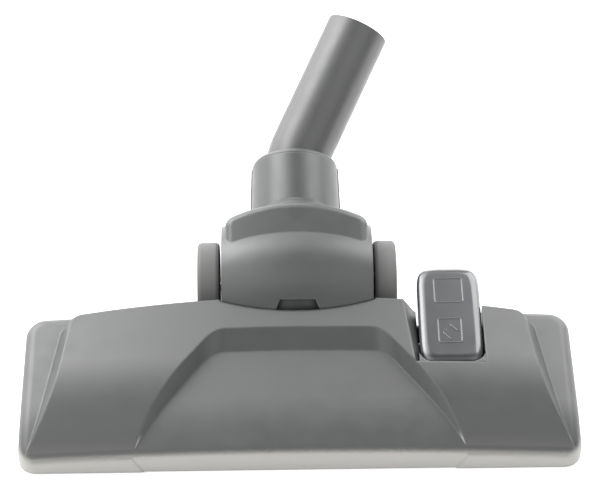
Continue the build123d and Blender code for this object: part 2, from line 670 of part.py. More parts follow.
def shoulder(step):
    """Block below the collar: loaf shaped, drawn in towards a crowned front, with round front and rear edges."""
    half = SHOULDER_HALF + step
    fore = loft([loaf(half, 0, 0), loaf(half - SHOULDER_DRAW, 0, -SHOULDER_FRONT)], ruled=True)
    aft = loft([loaf(half, 0, 0), loaf(half - SHOULDER_DRAW, 0, SHOULDER_REAR)], ruled=True)
    fore = fore & (Pos(0, SHOULDER_CROWN - SHOULDER_FRONT, 0) * Cylinder(SHOULDER_CROWN, 200))
    fore = fillet(end_rim(fore.faces().sort_by(Axis.Y)[0]), SHOULDER_RADIUS)
    aft = fillet(end_rim(aft.faces().sort_by(Axis.Y)[-1]), SHOULDER_RADIUS)
    return fore + aft


def shoulder_hollow():
    """Space inside the shoulder, with plain ends."""
    half = SHOULDER_HALF - SHOULDER_DRAW - WALL
    front = SHOULDER_FRONT - SHOULDER_HALF ** 2 / (2 * SHOULDER_CROWN) - WALL
    return loft([loaf(half, WALL, -front), loaf(half, WALL, SHOULDER_REAR - WALL)], ruled=True)


def end_rim(face):
    """Edges of one end face of the shoulder, without the one at its foot."""
    return face.edges().filter_by(lambda e: e.bounding_box().max.Z > 1)


def front_barrel(grow, half):
    """Front part of the barrel, from the shoulder down to its lip."""
    above = Rot(BARREL_LIP - 90, 0, 0) * box(-100, 100, -100, 100, 0, 100)
    return barrel(grow, half) & box(-100, 100, -100, 0, -100, 100) & above


def lip_notch():
    """Tapered notch in the middle of the barrel's lip."""
    wide = LIP_NOTCH_HALF + 4.1
    ring = Polyline((-wide, -3), (wide, -3), (LIP_NOTCH_HALF, LIP_NOTCH), (-LIP_NOTCH_HALF, LIP_NOTCH), close=True)
    face = Plane.XZ.offset(BARREL_RADIUS - 9) * make_face(ring)
    return Rot(BARREL_LIP - 90, 0, 0) * extrude(face, amount=20, dir=(0, -1, 0))


def neck_rod(x, y, radius, length):
    """Cylinder across the neck at the height of its screws."""
    return Pos(x, y, NECK_SCREW_Z) * Rot(90, 0, 0) * Cylinder(radius, length)


def neck_shell(step, collar_step):
    """Neck with barrel, shoulder, collar and side walls; the rear half is wider by the steps."""
    inner_half = BARREL_HALF - 2
    outer = front_barrel(0, BARREL_HALF) + rod_x(0, 0, REAR_BARREL_RADIUS, -BARREL_HALF, BARREL_HALF)
    outer = outer + shoulder(step)
    cavity = barrel(-WALL, inner_half) & box(-100, 100, -100, 0, -100, 100)
    cavity = cavity + rod_x(0, 0, REAR_BARREL_RADIUS - 2, -inner_half, inner_half)
    cavity = cavity + shoulder_hollow()
    body = outer - cavity - rod_z(0, 0, COLLAR_RIM_RADIUS - COLLAR_WALL, 10, 100)
    body = body - box(-inner_half, inner_half, 0, 60, -60, -2)
    for x in (-NECK_SCREW_X, NECK_SCREW_X):
        body = body + (neck_rod(x, -6, 3.4, 70) & outer)
    body = body + collar(collar_step)
    body = body - lip_notch()
    body = body - rod_x(0, 0, PIN_RADIUS + RUN_FIT, -60, 60)
    for x in (-NECK_SCREW_X, NECK_SCREW_X):
        body = body - neck_rod(x, 10, SCREW_RADIUS + 0.05, 60)
        body = body - neck_rod(x, SHOULDER_REAR, SCREW_HEAD + 0.3, 5)
    return body


def lean_back(shape):
    """From the upright drawing to the neck's place in the head."""
    return Pos(0, AXLE_Y, AXLE_Z) * Rot(-NECK_LEAN, 0, 0) * shape


def neck_screws():
    """Two cross-slotted screws from the rear half into the front half."""
    group = []
    face = SHOULDER_REAR - 1.1
    for x in (-NECK_SCREW_X, NECK_SCREW_X):
        screw = neck_rod(x, face - 0.7, SCREW_HEAD, 1.4) + neck_rod(x, face - 16.4, SCREW_RADIUS, 30)
        slot = box(x - 2, x + 2, face - 0.6, face + 1, NECK_SCREW_Z - 0.4, NECK_SCREW_Z + 0.4)
        slot = slot + box(x - 0.4, x + 0.4, face - 0.6, face + 1, NECK_SCREW_Z - 2, NECK_SCREW_Z + 2)
        group.append(screw - slot)
    return Compound(children=group)


def swivel_seal():
    """Felt ring between the collar and the tube."""
    z0 = FLANGE_Z + FLANGE_THICK + FLANGE_PLAY + COLLAR_RIB
    ring = rod_z(0, 0, COLLAR_RIM_RADIUS - COLLAR_WALL - 0.2, z0, z0 + 3)
    return ring - rod_z(0, 0, TUBE_RADIUS + 0.3, z0 - 1, z0 + 5)


def tube_run(radius, foot, extra):
    """Straight, bend and straight of one radius, bent towards +X, with the plane where the socket begins."""
    bend = math.radians(BEND_ANGLE)
    lower = rod_z(0, 0, radius, foot, BEND_START)
    ring = Pos(0, 0, BEND_START) * Circle(radius)
    curve = revolve(ring, Axis((BEND_RADIUS, 0, BEND_START), (0, 1, 0)), BEND_ANGLE)
    start = (BEND_RADIUS * (1 - math.cos(bend)), 0, BEND_START + BEND_RADIUS * math.sin(bend))
    plane = Plane(start, x_dir=(0, 1, 0), z_dir=(math.sin(bend), 0, math.cos(bend)))
    upper = extrude(plane * Circle(radius), amount=TUBE_STRAIGHT + extra)
    return lower + curve + upper, plane.offset(TUBE_STRAIGHT - SOCKET_LENGTH)


def swivel_tube():
    """Bent tube with the captive flange at its foot and the wand socket at its mouth."""
    outer, socket = tube_run(TUBE_RADIUS, TUBE_FOOT, 0)
    inner, socket = tube_run(THROAT_RADIUS, TUBE_FOOT - 1, 1)
    body = outer + rod_z(0, 0, FLANGE_RADIUS, FLANGE_Z, FLANGE_Z + FLANGE_THICK)
    body = body - inner - extrude(socket * Circle(SOCKET_RADIUS), amount=SOCKET_LENGTH + 1)
    return Rot(0, 0, -BEND_TURN) * body


# Wheels and axle pins

def turned(points, side):
    """Turned part given as (x, r) points for the right side."""
    ring = Polyline(*[(side * x, r) for x, r in points], close=True)
    return at_axle(revolve(make_face(ring), Axis.X))


def wheel_tyre(side):
    """Soft ring with bevelled shoulders."""
    x0 = WHEEL_INNER_X
    x1 = WHEEL_INNER_X + WHEEL_WIDTH
    low = WHEEL_RADIUS - TYRE_THICK
    points = [
        (x0, low), (x1, low), (x1, WHEEL_RADIUS - 1.6), (x1 - 0.6, WHEEL_RADIUS - 0.6), (x1 - 1.9, WHEEL_RADIUS),
        (x0 + 1.9, WHEEL_RADIUS), (x0 + 0.6, WHEEL_RADIUS - 0.6), (x0, WHEEL_RADIUS - 1.6),
    ]
    return turned(points, side)


def wheel_hub(side):
    """Rim, web, boss and ribs in one moulding."""
    x0 = WHEEL_INNER_X
    x1 = WHEEL_INNER_X + WHEEL_WIDTH
    rim = WHEEL_RADIUS - TYRE_THICK - 0.05
    inside = rim - 2.4
    bore = PIN_RADIUS + RUN_FIT
    seat = WHEEL_BOSS - 2
    points = [
        (x0, bore), (x0, seat), (x0 + 4.5, seat), (x0 + 4.5, inside), (x0 + 0.6, inside), (x0 + 0.6, rim),
        (x1 - 0.6, rim), (x1 - 0.6, inside), (x0 + 7, inside), (x0 + 7, WHEEL_BOSS), (x1 - 1.4, WHEEL_BOSS),
        (x1 - 1.4, seat), (x0 + 8, seat), (x0 + 8, bore),
    ]
    body = turned(points, side)
    ends = sorted((side * (x0 + 6), side * (x1 - 2.2)))
    rib = box(ends[0], ends[1], -0.7, 0.7, WHEEL_BOSS - 0.5, inside + 0.5)
    for i in range(WHEEL_RIBS):
        body = body + at_axle(Rot(360 * i / WHEEL_RIBS, 0, 0) * rib)
    return body


def wheel_cap(side):
    """Disc that closes the boss."""
    x1 = WHEEL_INNER_X + WHEEL_WIDTH
    seat = WHEEL_BOSS - 2
    points = [
        (x1 - 2.2, 0), (x1 - 2.2, seat - 0.1), (x1 - 1.4, seat - 0.1), (x1 - 1.4, WHEEL_BOSS - 0.7),
        (x1 - 0.8, WHEEL_BOSS - 1.1), (x1 - 0.4, WHEEL_BOSS - 3), (x1 - 0.4, 0),
    ]
    return turned(points, side)


def axle_pin(side):
    """Headed steel pin: pressed into the cheek, running fit in knuckle and wheel."""
    seat = CHEEK_HALF - CHEEK_THICK
    head = seat - 2.3
    end = WHEEL_INNER_X + WHEEL_WIDTH - 3.2
    points = [(head, 0), (head, 5), (seat, 5), (seat, PIN_RADIUS), (end, PIN_RADIUS), (end, 0)]
    return turned(points, side)


def main():
    front_neck = neck_shell(0, 0)
    rear_neck = neck_shell(REAR_STEP, COLLAR_STEP)
    ahead = box(-100, 100, -100, 0, -100, 120)
    behind = box(-100, 100, 0, 100, -100, 120)
    nodes = {
        "top_cover": top_cover(),
        "lower_housing": lower_housing(),
        "channel_cover": channel_cover(),
        "sole_plate": sole_plate(),
        "lint_strips_front": lint_strip(BRUSH_FRONT_Y + 6.3, 0),
        "lint_strips_rear": lint_strip(MOUTH_REAR + 4, 0),
        "sole_screws": sole_screws(),
        "brush_carrier": brush_carrier(),
        "front_bristles": bristles(BRUSH_FRONT_Y),
        "rear_bristles": bristles(BRUSH_REAR_Y),
        "brush_spring_left": brush_spring(-1),
        "brush_spring_right": brush_spring(1),
        "pedal": pedal(),
        "pedal_pin": pedal_pin(),
        "pedal_spring": pedal_spring(),
        "neck_front_shell": lean_back(front_neck & ahead),
        "neck_rear_shell": lean_back(rear_neck & behind),
        "neck_screws": lean_back(neck_screws()),
        "swivel_seal": lean_back(swivel_seal()),
        "swivel_tube": lean_back(swivel_tube()),
    }
    for side, name in ((-1, "left"), (1, "right")):
        nodes["axle_pin_" + name] = axle_pin(side)
        nodes["wheel_tyre_" + name] = wheel_tyre(side)
        nodes["wheel_hub_" + name] = wheel_hub(side)
        nodes["wheel_cap_" + name] = wheel_cap(side)
    for name, shape in nodes.items():
        export_step(shape, "parts/" + name + ".step")


main()
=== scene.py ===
import math
import bmesh
import bpy
import numpy as np
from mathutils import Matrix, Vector
from mathutils.bvhtree import BVHTree


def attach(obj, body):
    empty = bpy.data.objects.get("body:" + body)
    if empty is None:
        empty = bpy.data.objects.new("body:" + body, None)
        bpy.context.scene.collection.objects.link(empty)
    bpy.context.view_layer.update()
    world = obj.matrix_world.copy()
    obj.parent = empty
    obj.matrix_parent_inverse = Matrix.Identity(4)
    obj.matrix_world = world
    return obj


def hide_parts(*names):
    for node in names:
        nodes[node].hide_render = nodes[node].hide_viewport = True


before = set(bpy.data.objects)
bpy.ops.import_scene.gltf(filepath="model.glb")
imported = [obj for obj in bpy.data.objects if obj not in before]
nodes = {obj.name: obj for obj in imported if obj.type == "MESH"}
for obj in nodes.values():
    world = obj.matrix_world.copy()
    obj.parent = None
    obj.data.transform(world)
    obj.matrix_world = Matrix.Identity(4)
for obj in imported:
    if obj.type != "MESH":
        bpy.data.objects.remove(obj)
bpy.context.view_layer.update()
scene = bpy.context.scene
mm = 0.001
print("frame loaded:", len(nodes), "nodes")


# camera: same viewing angle and framing as the photograph, which is 600 x 493
cameraSetup = {
    "place": (-14.4, -832.5, 868.7),
    "aim": (1.61, 59.14, 65.7),
    "focal": 2226.0,  # in pixels of the frame
    "frameWidth": 600.0,
    "sensor": 36.0,
    "nearest": 0.05,
}


def makeCamera(setup):
    # lens = focal length in pixels / frame width * sensor width
    data = bpy.data.cameras.new("camera")
    camera = bpy.data.objects.new("camera", data)
    scene.collection.objects.link(camera)
    place = Vector(setup["place"]) * mm
    aim = Vector(setup["aim"]) * mm
    data.sensor_width = setup["sensor"]
    data.lens = setup["focal"] / setup["frameWidth"] * data.sensor_width
    data.clip_start = setup["nearest"]
    camera.location = place
    camera.rotation_mode = "QUATERNION"
    camera.rotation_quaternion = (aim - place).to_track_quat("-Z", "Y")
    scene.camera = camera


makeCamera(cameraSetup)


# studio: white paper floor in a tent of cloth that glows softly in some directions,
# and two small soft boxes behind
studio = {
    "floorColour": (0.72, 0.72, 0.72),
    "floorLift": 0.80,
    "floorReach": 6.0,
    "floorDrop": 0.0002,
    "base": 0.03,
    "glows": [  # angle from the front over the right, height angle, half width in degrees, level
        {"turn": 0, "rise": 8, "spread": 32, "level": 0.54},
        {"turn": 45, "rise": 8, "spread": 32, "level": 0.90},
        {"turn": 90, "rise": 8, "spread": 32, "level": 0.54},
        {"turn": 135, "rise": 8, "spread": 32, "level": 3.54},
        {"turn": 180, "rise": 8, "spread": 32, "level": 4.32},
        {"turn": 225, "rise": 8, "spread": 32, "level": 4.32},
        {"turn": 270, "rise": 8, "spread": 32, "level": 0.54},
        {"turn": 315, "rise": 8, "spread": 32, "level": 0.90},
        {"turn": 45, "rise": 48, "spread": 34, "level": 1.03},
        {"turn": 135, "rise": 48, "spread": 34, "level": 1.10},
        {"turn": 180, "rise": 48, "spread": 34, "level": 0.33},
        {"turn": 225, "rise": 48, "spread": 34, "level": 4.32},
        {"turn": 270, "rise": 48, "spread": 34, "level": 1.00},
        {"turn": 315, "rise": 48, "spread": 34, "level": 1.60},
    ],
    "boxes": [  # metres, watts
        {"name": "boxLeft", "place": (-0.35, 0.30, 0.45), "aim": (-0.10, 0.02, 0.03),
         "size": 0.35, "power": 1.0},
        {"name": "boxRight", "place": (0.35, 0.30, 0.45), "aim": (0.10, 0.02, 0.03),
         "size": 0.35, "power": 1.2},
    ],
}


def nodeIn(tree, kind, **sockets):
    node = tree.nodes.new(kind)
    for name, value in sockets.items():
        node.inputs[name].default_value = value
    return node


def mathIn(tree, operation, first, second):
    node = tree.nodes.new("ShaderNodeMath")
    node.operation = operation
    for spot, value in enumerate((first, second)):
        if isinstance(value, (int, float)):
            node.inputs[spot].default_value = value
        else:
            tree.links.new(value, node.inputs[spot])
    return node.outputs[0]


def rampIn(tree, value, low, high, atLow=0.0, atHigh=1.0):
    # smooth step of a value: atLow below low, atHigh above high
    node = tree.nodes.new("ShaderNodeMapRange")
    node.interpolation_type = "SMOOTHSTEP"
    node.inputs["From Min"].default_value = low
    node.inputs["From Max"].default_value = high
    node.inputs["To Min"].default_value = atLow
    node.inputs["To Max"].default_value = atHigh
    tree.links.new(value, node.inputs["Value"])
    return node.outputs["Result"]


def seenRays(tree):
    # rays of the camera and through glass: these see the white background
    rays = tree.nodes.new("ShaderNodeLightPath")
    clear = mathIn(tree, "MAXIMUM", rays.outputs["Is Camera Ray"], rays.outputs["Is Transmission Ray"])
    return rays, clear


def makeTent(setup):
    # level of the sky = base + the sum of glows; a glow falls off smoothly from its middle to its half width
    world = bpy.data.worlds.new("tent")
    scene.world = world
    world.use_nodes = True
    tree = world.node_tree
    tree.nodes.clear()
    link = tree.links.new
    way = tree.nodes.new("ShaderNodeTexCoord")
    level = setup["base"]
    for glow in setup["glows"]:
        turn = math.radians(glow["turn"])
        rise = math.radians(glow["rise"])
        near = tree.nodes.new("ShaderNodeVectorMath")
        near.operation = "DOT_PRODUCT"
        link(way.outputs["Generated"], near.inputs[0])
        near.inputs[1].default_value = (
            math.sin(turn) * math.cos(rise), -math.cos(turn) * math.cos(rise), math.sin(rise))
        edge = math.cos(math.radians(glow["spread"]))
        shine = rampIn(tree, near.outputs["Value"], edge, 1.0, 0.0, glow["level"])
        level = mathIn(tree, "ADD", shine, level)
    cloth = tree.nodes.new("ShaderNodeBackground")
    link(level, cloth.inputs["Strength"])
    white = nodeIn(tree, "ShaderNodeBackground", Strength=1.0)
    clear = seenRays(tree)[1]
    pick = tree.nodes.new("ShaderNodeMixShader")
    link(clear, pick.inputs[0])
    link(cloth.outputs[0], pick.inputs[1])
    link(white.outputs[0], pick.inputs[2])
    out = tree.nodes.new("ShaderNodeOutputWorld")
    link(pick.outputs[0], out.inputs["Surface"])


def makeFloor(setup):
    # square of paper that looks brighter to the camera and to mirrors than it lights the part
    mesh = bpy.data.meshes.new("floor")
    reach = setup["floorReach"]
    corners = [(-reach, -reach, 0), (reach, -reach, 0), (reach, reach, 0), (-reach, reach, 0)]
    mesh.from_pydata(corners, [], [(0, 1, 2, 3)])
    floor = bpy.data.objects.new("floor", mesh)
    floor.location = (0, 0, -setup["floorDrop"])
    scene.collection.objects.link(floor)
    paper = bpy.data.materials.new("floorPaper")
    paper.use_nodes = True
    tree = paper.node_tree
    tree.nodes.clear()
    link = tree.links.new
    sheet = nodeIn(tree, "ShaderNodeBsdfDiffuse", Color=(*setup["floorColour"], 1))
    lift = nodeIn(tree, "ShaderNodeEmission", Strength=setup["floorLift"])
    both = tree.nodes.new("ShaderNodeAddShader")
    link(sheet.outputs[0], both.inputs[0])
    link(lift.outputs[0], both.inputs[1])
    rays, clear = seenRays(tree)
    seen = mathIn(tree, "MAXIMUM", clear, rays.outputs["Is Glossy Ray"])
    pick = tree.nodes.new("ShaderNodeMixShader")
    link(seen, pick.inputs[0])
    link(sheet.outputs[0], pick.inputs[1])
    link(both.outputs[0], pick.inputs[2])
    side = tree.nodes.new("ShaderNodeNewGeometry")
    gone = tree.nodes.new("ShaderNodeBsdfTransparent")
    oneSided = tree.nodes.new("ShaderNodeMixShader")  # clear from below, so the sole can be looked at
    link(side.outputs["Backfacing"], oneSided.inputs[0])
    link(pick.outputs[0], oneSided.inputs[1])
    link(gone.outputs[0], oneSided.inputs[2])
    out = tree.nodes.new("ShaderNodeOutputMaterial")
    link(oneSided.outputs[0], out.inputs["Surface"])
    mesh.materials.append(paper)


def makeBox(box):
    data = bpy.data.lights.new(box["name"], "AREA")
    data.size = box["size"]
    data.energy = box["power"]
    lamp = bpy.data.objects.new(box["name"], data)
    lamp.location = box["place"]
    lamp.rotation_mode = "QUATERNION"
    lamp.rotation_quaternion = (Vector(box["aim"]) - Vector(box["place"])).to_track_quat("-Z", "Y")
    lamp.visible_camera = False
    scene.collection.objects.link(lamp)


makeTent(studio)
makeFloor(studio)
for box in studio["boxes"]:
    makeBox(box)
scene.view_settings.view_transform = "Standard"
print("studio ready")


# finishes: colour, its slow drift, roughness, mirror strength, grain strength and its size in mm,
# softened edge in mm and how pale that edge is worn; band is a paler colour painted on the front
# of the cover as a painted reflection of the bright floor, coat a clear gloss and coatRough its roughness
finishes = {
    "coverGrey": {"colour": (0.083, 0.087, 0.085), "drift": 0.05, "rough": 0.38, "mirror": 1.0, "grain": 0.30,
                  "grainSize": 0.42, "edge": 1.6, "worn": 0.10, "band": (0.54, 0.53, 0.50)},
    "neckGrey": {"colour": (0.082, 0.087, 0.086), "drift": 0.05, "rough": 0.36, "mirror": 1.0, "grain": 0.28,
                 "grainSize": 0.42, "edge": 1.6, "worn": 0.10},
    "tubeGrey": {"colour": (0.084, 0.087, 0.085), "drift": 0.04, "rough": 0.33, "mirror": 1.0, "grain": 0.22,
                 "grainSize": 0.40, "edge": 0.4, "worn": 0.20},
    "pedalGrey": {"colour": (0.058, 0.063, 0.067), "drift": 0.03, "rough": 0.22, "mirror": 1.0, "grain": 0.0,
                  "edge": 0.0, "coat": 1.0, "coatRough": 0.08},
    # darker grey of the notch floor: painted shade in the notch, not a different plastic
    "recessGrey": {"colour": (0.062, 0.066, 0.065), "drift": 0.05, "rough": 0.45, "mirror": 0.5, "grain": 0.3,
                   "grainSize": 0.42, "edge": 0.2, "worn": 0.05},
    "innerBlack": {"colour": (0.030, 0.030, 0.031), "drift": 0.10, "rough": 0.50, "mirror": 0.5, "grain": 0.4,
                   "grainSize": 0.5, "edge": 0.3, "worn": 0.03},
    "soleBlack": {"colour": (0.030, 0.030, 0.031), "drift": 0.10, "rough": 0.33, "mirror": 0.5, "grain": 0.2,
                  "grainSize": 0.5, "edge": 0.3, "worn": 0.05},
    "hubGrey": {"colour": (0.085, 0.086, 0.087), "drift": 0.06, "rough": 0.46, "mirror": 0.6, "grain": 0.4,
                "grainSize": 0.5, "edge": 0.3, "worn": 0.08},
    "tyreGrey": {"colour": (0.175, 0.175, 0.172), "drift": 0.08, "rough": 0.62, "mirror": 0.5, "grain": 0.8,
                 "grainSize": 0.35, "edge": 0.4, "worn": 0.05},
    "fibreBlack": {"colour": (0.022, 0.022, 0.023), "drift": 0.30, "rough": 0.45, "mirror": 0.5, "grain": 0.0,
                   "edge": 0.0},
    "pileRed": {"colour": (0.26, 0.022, 0.020), "drift": 0.30, "rough": 0.85, "mirror": 0.3, "grain": 0.0,
                "edge": 0.0},
    "feltGrey": {"colour": (0.10, 0.10, 0.10), "drift": 0.25, "rough": 0.9, "mirror": 0.2, "grain": 1.0,
                 "grainSize": 0.3, "edge": 0.0},
}
# where the painted reflection on the cover's front fades in: height of the normal, and place in depth in mm
bandZone = {"upright": (0.36, 0.84), "ahead": (-40.0, -33.0)}
# what all moulded finishes share: noise scales, spread of the roughness, grain height in mm,
# and from which turn an edge counts as rubbed and how pale it gets
moulding = {
    "driftScale": 24.0,
    "patchScale": 90.0,
    "patchSpan": (0.25, 0.75),
    "smoother": 0.04,
    "rougher": 0.05,
    "grainHigh": 0.02,
    "edgeRays": 6,
    "edgeTurn": (0.80, 0.99),
    "rubSpan": (0.3, 0.6),
    "rubGain": 3.0,
    "paler": 2.2,
    "palest": 0.5,
}
# zinc plate: two tints, scale and span of the drawn lines, roughness, softened edge in mm
zinc = {
    "dark": (0.50, 0.51, 0.53),
    "pale": (0.62, 0.62, 0.62),
    "lineScale": 900.0,
    "lineSpan": (0.3, 0.7),
    "rough": (0.25, 0.42),
    "edge": 0.15,
}


def paintedFrontReflection(tree, where):
    # painted reflection of the bright floor: one where the cover turns down at its front, on upright faces
    # near the front edge
    facing = tree.nodes.new("ShaderNodeSeparateXYZ")
    tree.links.new(where.outputs["Normal"], facing.inputs[0])
    place = tree.nodes.new("ShaderNodeSeparateXYZ")
    tree.links.new(where.outputs["Object"], place.inputs[0])
    low, high = bandZone["upright"]
    upright = rampIn(tree, facing.outputs["Z"], low, high, 1.0, 0.0)
    near, far = bandZone["ahead"]
    ahead = rampIn(tree, place.outputs["Y"], near * mm, far * mm, 1.0, 0.0)
    return mathIn(tree, "MULTIPLY", upright, ahead)


def mixColours(tree, factor, first, second):
    mix = tree.nodes.new("ShaderNodeMix")
    mix.data_type = "RGBA"
    tree.links.new(factor, mix.inputs[0])
    for spot, value in ((6, first), (7, second)):
        if isinstance(value, tuple):
            mix.inputs[spot].default_value = (*value, 1)
        else:
            tree.links.new(value, mix.inputs[spot])
    return mix.outputs[2]


def mouldedFinish(name, look):
    # colour drifts slowly, roughness varies in patches, spark grain lifts the normal,
    # edges are soft and a little paler
    material = bpy.data.materials.new(name)
    material.use_nodes = True
    tree = material.node_tree
    link = tree.links.new
    shader = tree.nodes["Principled BSDF"]
    shader.inputs["Specular IOR Level"].default_value = look["mirror"]
    shader.inputs["Coat Weight"].default_value = look.get("coat", 0.0)
    shader.inputs["Coat Roughness"].default_value = look.get("coatRough", 0.05)
    where = tree.nodes.new("ShaderNodeTexCoord")
    drift = nodeIn(tree, "ShaderNodeTexNoise", Scale=moulding["driftScale"], Detail=5.0, Roughness=0.6)
    link(where.outputs["Object"], drift.inputs["Vector"])
    base = np.array(look["colour"])
    darker = tuple(base * (1 - look["drift"]))
    paler = tuple(base * (1 + look["drift"]))
    colour = mixColours(tree, drift.outputs["Fac"], darker, paler)
    # the paler front of the cover is a painted reflection of the bright floor, not the plastic's own colour
    if "band" in look:
        colour = mixColours(tree, paintedFrontReflection(tree, where), colour, look["band"])
    patch = nodeIn(tree, "ShaderNodeTexNoise", Scale=moulding["patchScale"], Detail=6.0, Roughness=0.65)
    link(where.outputs["Object"], patch.inputs["Vector"])
    low = look["rough"] - moulding["smoother"]
    high = look["rough"] + moulding["rougher"]
    gloss = rampIn(tree, patch.outputs["Fac"], *moulding["patchSpan"], low, high)
    normal = None
    if look["edge"] > 0:
        soft = nodeIn(tree, "ShaderNodeBevel", Radius=look["edge"] * mm)
        soft.samples = moulding["edgeRays"]
        normal = soft.outputs["Normal"]
        plain = tree.nodes.new("ShaderNodeNewGeometry")
        turn = tree.nodes.new("ShaderNodeVectorMath")
        turn.operation = "DOT_PRODUCT"
        link(normal, turn.inputs[0])
        link(plain.outputs["Normal"], turn.inputs[1])
        edge = rampIn(tree, turn.outputs["Value"], *moulding["edgeTurn"], 1.0, 0.0)
        rubbed = mathIn(tree, "MULTIPLY", edge, rampIn(tree, patch.outputs["Fac"], *moulding["rubSpan"]))
        wear = mathIn(tree, "MULTIPLY", rubbed, look["worn"] * moulding["rubGain"])
        rubbedColour = tuple(np.minimum(base * moulding["paler"], moulding["palest"]))
        colour = mixColours(tree, wear, colour, rubbedColour)
    link(colour, shader.inputs["Base Color"])
    link(gloss, shader.inputs["Roughness"])
    if look["grain"] > 0:
        fine = 1.0 / (look["grainSize"] * mm)
        spark = nodeIn(tree, "ShaderNodeTexNoise", Scale=fine, Detail=2.0, Roughness=0.5)
        link(where.outputs["Object"], spark.inputs["Vector"])
        bump = nodeIn(tree, "ShaderNodeBump", Strength=look["grain"], Distance=moulding["grainHigh"] * mm)
        link(spark.outputs["Fac"], bump.inputs["Height"])
        if normal is not None:
            link(normal, bump.inputs["Normal"])
        normal = bump.outputs["Normal"]
    if normal is not None:
        link(normal, shader.inputs["Normal"])
    return material


def steelFinish(name, look):
    # zinc plated steel: fine drawn lines in tint and roughness
    material = bpy.data.materials.new(name)
    material.use_nodes = True
    tree = material.node_tree
    link = tree.links.new
    shader = tree.nodes["Principled BSDF"]
    shader.inputs["Metallic"].default_value = 1.0
    where = tree.nodes.new("ShaderNodeTexCoord")
    lines = nodeIn(tree, "ShaderNodeTexNoise", Scale=look["lineScale"], Detail=3.0, Roughness=0.6)
    link(where.outputs["Object"], lines.inputs["Vector"])
    link(mixColours(tree, lines.outputs["Fac"], look["dark"], look["pale"]), shader.inputs["Base Color"])
    link(rampIn(tree, lines.outputs["Fac"], *look["lineSpan"], *look["rough"]), shader.inputs["Roughness"])
    soft = nodeIn(tree, "ShaderNodeBevel", Radius=look["edge"] * mm)
    link(soft.outputs["Normal"], shader.inputs["Normal"])
    return material


paint = {name: mouldedFinish(name, look) for name, look in finishes.items()}
paint["zincSteel"] = steelFinish("zincSteel", zinc)

wearing = {
    "coverGrey": ["top_cover"],
    "neckGrey": ["neck_front_shell", "neck_rear_shell"],
    "tubeGrey": ["swivel_tube"],
    "pedalGrey": ["pedal"],
    "innerBlack": ["lower_housing", "channel_cover", "brush_carrier"],
    "soleBlack": ["sole_plate"],
    "hubGrey": ["wheel_hub_left", "wheel_hub_right", "wheel_cap_left", "wheel_cap_right"],
    "tyreGrey": ["wheel_tyre_left", "wheel_tyre_right"],
    "fibreBlack": ["front_bristles", "rear_bristles"],
    "pileRed": ["lint_strips_front", "lint_strips_rear"],
    "feltGrey": ["swivel_seal"],
    "zincSteel": ["sole_screws", "neck_screws", "pedal_pin", "pedal_spring", "brush_spring_left",
                  "brush_spring_right", "axle_pin_left", "axle_pin_right"],
}
for finish, names in wearing.items():
    for name in names:
        nodes[name].data.materials.clear()
        nodes[name].data.materials.append(paint[finish])
print("finishes on", sum(len(names) for names in wearing.values()), "nodes")


def addPiece(name, points, faces, finish, body, slot, stands=()):
    # points in mm; the piece rides on a body and takes the given finish
    mesh = bpy.data.meshes.new(name)
    mesh.from_pydata((np.asarray(points) * mm).tolist(), [], faces)
    skin = bmesh.new()
    skin.from_mesh(mesh)
    bmesh.ops.recalc_face_normals(skin, faces=skin.faces[:])
    skin.to_mesh(mesh)
    skin.free()
    mesh.polygons.foreach_set("use_smooth", np.ones(len(mesh.polygons), dtype=bool))
    mesh.materials.append(paint[finish])
    mesh.update()
    piece = bpy.data.objects.new(name, mesh)
    scene.collection.objects.link(piece)
    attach(piece, body)
    if stands:
        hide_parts(*stands)
    return piece


def skinOver(rows, closed):
    # rows of a closed section, joined by four-sided faces; an open run gets an end face at each end
    count, around = rows.shape[:2]
    row = np.arange(count if closed else count - 1)[:, None]
    j = np.arange(around)[None, :]
    k = (j + 1) % around
    ahead = (row + 1) % count
    quads = [row * around + j, row * around + k, ahead * around + k, ahead * around + j]
    faces = np.stack(quads, axis=2).reshape(-1, 4).tolist()
    if not closed:
        faces.append(list(range(around)))
        faces.append(list(range((count - 1) * around, count * around)))
    return rows.reshape(-1, 3), faces


def carried(path, across, up, section, closed):
    # every path point carries the closed section: point + across * u + up * v
    sideways = across[:, None, :] * section[None, :, :1]
    upward = up[:, None, :] * section[None, :, 1:]
    return skinOver(path[:, None, :] + sideways + upward, closed)


def joined(parts):
    # several meshes as one: points in a row, face numbers shifted by the points before them
    points = []
    faces = []
    shift = 0
    for piecePoints, pieceFaces in parts:
        faces += [[shift + i for i in face] for face in pieceFaces]
        points.append(piecePoints)
        shift += len(piecePoints)
    return np.vstack(points), faces


# pedal: a skin with full round edges over the cap of the rocker, and raised signs on it:
# an open frame behind, a frame with a brush stroke sign before it, all as low rounded beads
pedalSkin = {
    "pin": (20.0, 37.2),  # y and z of the cap's top above the pin
    "slope": 12.0,
    "proud": 0.6,
    "middle": (81.8, 31.9),
    "size": (34.0, 59.4),
    "square": 7.0,  # power of the outline: 2 is an ellipse, more is squarer
    "outlineSteps": 128,
    "bow": 1.4,
    "roundWide": 4.6,
    "roundHigh": 3.2,
    "roundSteps": 14,
    "topRings": (1.0, 0.4),  # rings on the flat top, which keep its shading flat
    "deep": 5.55,
    "tuck": 0.5,
}
pedalSigns = {
    "beadWidth": 0.80,
    "beadHeight": 0.20,
    "beadSunk": 0.35,
    "beadSteps": 12,
    "frames": [{"middle": (81.7, 46.9), "size": (15.2, 15.4)}, {"middle": (81.3, 21.4), "size": (12.3, 15.0)}],
    "corner": 1.2,
    "strokes": [((81.3, 25.3), (85.6, 20.9)), ((77.4, 20.4), (81.6, 15.6)), ((77.5, 20.3), (79.7, 22.3))],
    "strokeSteps": 6,
}


